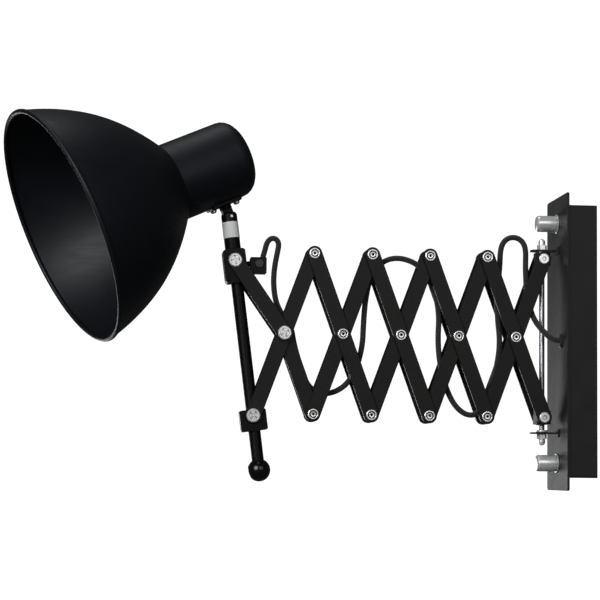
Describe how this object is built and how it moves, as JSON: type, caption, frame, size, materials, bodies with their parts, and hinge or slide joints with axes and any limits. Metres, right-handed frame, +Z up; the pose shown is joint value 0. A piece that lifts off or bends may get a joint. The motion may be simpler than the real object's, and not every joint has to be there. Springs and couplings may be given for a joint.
{
  "type": "accordion wall lamp",
  "caption": "Wall lamp with a swinging scissor arm on a flat wall box, a tilting post and a bell shade on a swivel knuckle.",
  "frame": {"origin": "centre of the wall box's back, on the wall", "axes": "+X into the wall, -X along the arm to the lamp, +Z up"},
  "size_m": [0.5329, 0.2091, 0.3283],
  "materials": {
    "plate_coat": "fine textured powder coat",
    "arm_coat": "satin powder coat",
    "block_coat": "satin paint",
    "shade_coat": "satin, smooth",
    "bright_nickel": "polished",
    "zinc_steel": "zinc plated",
    "plain_band": "matt silver foil",
    "black_gloss": "gloss",
    "cord_braid": "braided textile",
    "holder_plastic": "matt",
    "terminal_plastic": "matt",
    "contact_brass": "nickel-free brass"
  },
  "bodies": {
    "wall": {"wall_plate": "plate_coat", "wall_box": "plate_coat", "mounting_strap": "zinc_steel", "plate_studs": "zinc_steel", "cap_nuts": "bright_nickel", "cap_nut_washers": "bright_nickel", "terminal_block": "terminal_plastic", "wiring_screws": "zinc_steel", "upper_bracket": "plate_coat", "lower_bracket": "plate_coat", "cable_gland": "holder_plastic", "gland_nut": "zinc_steel", "cord": "cord_braid"},
    "swing": {"wall_rod": "zinc_steel", "rod_acorns": "bright_nickel", "rod_washers": "bright_nickel", "upper_block": "block_coat", "upper_pivot_screws": "bright_nickel"},
    "slider": {"slider_block": "block_coat", "slider_pivot_screws": "bright_nickel"},
    "half_bars": {"half_bars": "arm_coat", "end_links": "arm_coat", "upper_bushes": "block_coat"},
    "guide": {"guide_clamp": "block_coat", "lower_post_screws": "bright_nickel"},
    "post": {"post_clamp": "block_coat", "post_clamp_screw": "block_coat", "upper_post_screws": "bright_nickel", "post_rod": "block_coat", "ball_knob": "black_gloss", "cord_clip": "block_coat", "cord_clip_screw": "bright_nickel"},
    "turret": {"post_sleeve": "block_coat", "sleeve_band": "plain_band", "tilt_pin": "bright_nickel"},
    "head": {"knuckle_tongue": "block_coat", "saddle_plate": "block_coat", "saddle_screws": "bright_nickel", "neck_cover": "shade_coat", "shade": "shade_coat", "lampholder": "holder_plastic", "holder_ring": "holder_plastic", "socket_shell": "contact_brass", "socket_contact": "contact_brass"},
    "rising_1": {"rising_bars_1": "arm_coat"},
    "falling_1": {"falling_bars_1": "arm_coat", "pivot_pins_1": "bright_nickel"},
    "rising_2": {"rising_bars_2": "arm_coat"},
    "falling_2": {"falling_bars_2": "arm_coat", "pivot_pins_2": "bright_nickel"},
    "rising_3": {"rising_bars_3": "arm_coat"},
    "falling_3": {"falling_bars_3": "arm_coat", "pivot_pins_3": "bright_nickel"},
    "rising_4": {"rising_bars_4": "arm_coat"},
    "falling_4": {"falling_bars_4": "arm_coat", "pivot_pins_4": "bright_nickel"},
    "falling_5": {"falling_bars_5": "arm_coat", "pivot_pins_5": "bright_nickel", "elbow_bolt": "bright_nickel", "lower_bushes": "block_coat"}
  },
  "joints": [
    {"name": "arm_swing", "type": "hinge", "parent": "wall", "child": "swing", "pos_m": [-0.0417, 0, 0], "axis": [0, 0, 1], "range_deg": [-75, 75], "deforming": ["cord"]},
    {"name": "arm_fold", "type": "hinge", "parent": "swing", "child": "falling_1", "pos_m": [-0.0417, 0, 0.07636], "axis": [0, 1, 0], "range_deg": [-6.5, 30], "deforming": ["cord"]},
    {"name": "rising_1_turn", "type": "hinge", "parent": "falling_1", "child": "rising_1", "pos_m": [-0.06804, 0, 0.004], "axis": [0, 1, 0], "range_deg": [-60, 13]},
    {"name": "rising_2_turn", "type": "hinge", "parent": "falling_1", "child": "rising_2", "pos_m": [-0.09437, 0, -0.06836], "axis": [0, 1, 0], "range_deg": [-60, 13]},
    {"name": "falling_2_turn", "type": "hinge", "parent": "rising_2", "child": "falling_2", "pos_m": [-0.12071, 0, 0.004], "axis": [0, 1, 0], "range_deg": [-13, 60]},
    {"name": "falling_3_turn", "type": "hinge", "parent": "rising_2", "child": "falling_3", "pos_m": [-0.14704, 0, 0.07636], "axis": [0, 1, 0], "range_deg": [-13, 60]},
    {"name": "rising_3_turn", "type": "hinge", "parent": "falling_3", "child": "rising_3", "pos_m": [-0.17338, 0, 0.004], "axis": [0, 1, 0], "range_deg": [-60, 13]},
    {"name": "falling_4_turn", "type": "hinge", "parent": "rising_3", "child": "falling_4", "pos_m": [-0.19971, 0, 0.07636], "axis": [0, 1, 0], "range_deg": [-13, 60]},
    {"name": "rising_4_turn", "type": "hinge", "parent": "falling_4", "child": "rising_4", "pos_m": [-0.22605, 0, 0.004], "axis": [0, 1, 0], "range_deg": [-60, 13]},
    {"name": "half_bars_turn", "type": "hinge", "parent": "falling_4", "child": "half_bars", "pos_m": [-0.25238, 0, -0.06836], "axis": [0, 1, 0], "range_deg": [-60, 13]},
    {"name": "falling_5_turn", "type": "hinge", "parent": "half_bars", "child": "falling_5", "pos_m": [-0.27872, 0, 0.004], "axis": [0, 1, 0], "range_deg": [-13, 60]},
    {"name": "slider_turn", "type": "hinge", "parent": "rising_1", "child": "slider", "pos_m": [-0.0417, 0, -0.06836], "axis": [0, 1, 0], "range_deg": [-6.5, 30]},
    {"name": "post_turn", "type": "hinge", "parent": "half_bars", "child": "post", "pos_m": [-0.32403, 0, 0.06871], "axis": [0, 1, 0], "range_deg": [-6.5, 30]},
    {"name": "guide_turn", "type": "hinge", "parent": "falling_5", "child": "guide", "pos_m": [-0.30574, 0, -0.07024], "axis": [0, 1, 0], "range_deg": [-30, 6.5]},
    {"name": "head_turn", "type": "hinge", "parent": "post", "child": "turret", "pos_m": [-0.32403, 0, 0.06871], "axis": [-0.1305, 0, 0.9914], "range_deg": [-100, 70]},
    {"name": "head_tilt", "type": "hinge", "parent": "turret", "child": "head", "pos_m": [-0.32932, 0, 0.10887], "axis": [-0.2766, 0.9603, -0.0364], "range_deg": [-38, 35]}
  ],
  "couplings": [
    {"joint": "rising_1_turn", "follows": "arm_fold", "ratio": -2},
    {"joint": "rising_2_turn", "follows": "arm_fold", "ratio": -2},
    {"joint": "falling_2_turn", "follows": "arm_fold", "ratio": 2},
    {"joint": "falling_3_turn", "follows": "arm_fold", "ratio": 2},
    {"joint": "rising_3_turn", "follows": "arm_fold", "ratio": -2},
    {"joint": "falling_4_turn", "follows": "arm_fold", "ratio": 2},
    {"joint": "rising_4_turn", "follows": "arm_fold", "ratio": -2},
    {"joint": "half_bars_turn", "follows": "arm_fold", "ratio": -2},
    {"joint": "falling_5_turn", "follows": "arm_fold", "ratio": 2},
    {"joint": "slider_turn", "follows": "arm_fold", "ratio": 1},
    {"joint": "post_turn", "follows": "arm_fold", "ratio": 1},
    {"joint": "guide_turn", "follows": "arm_fold", "ratio": -1}
  ]
}
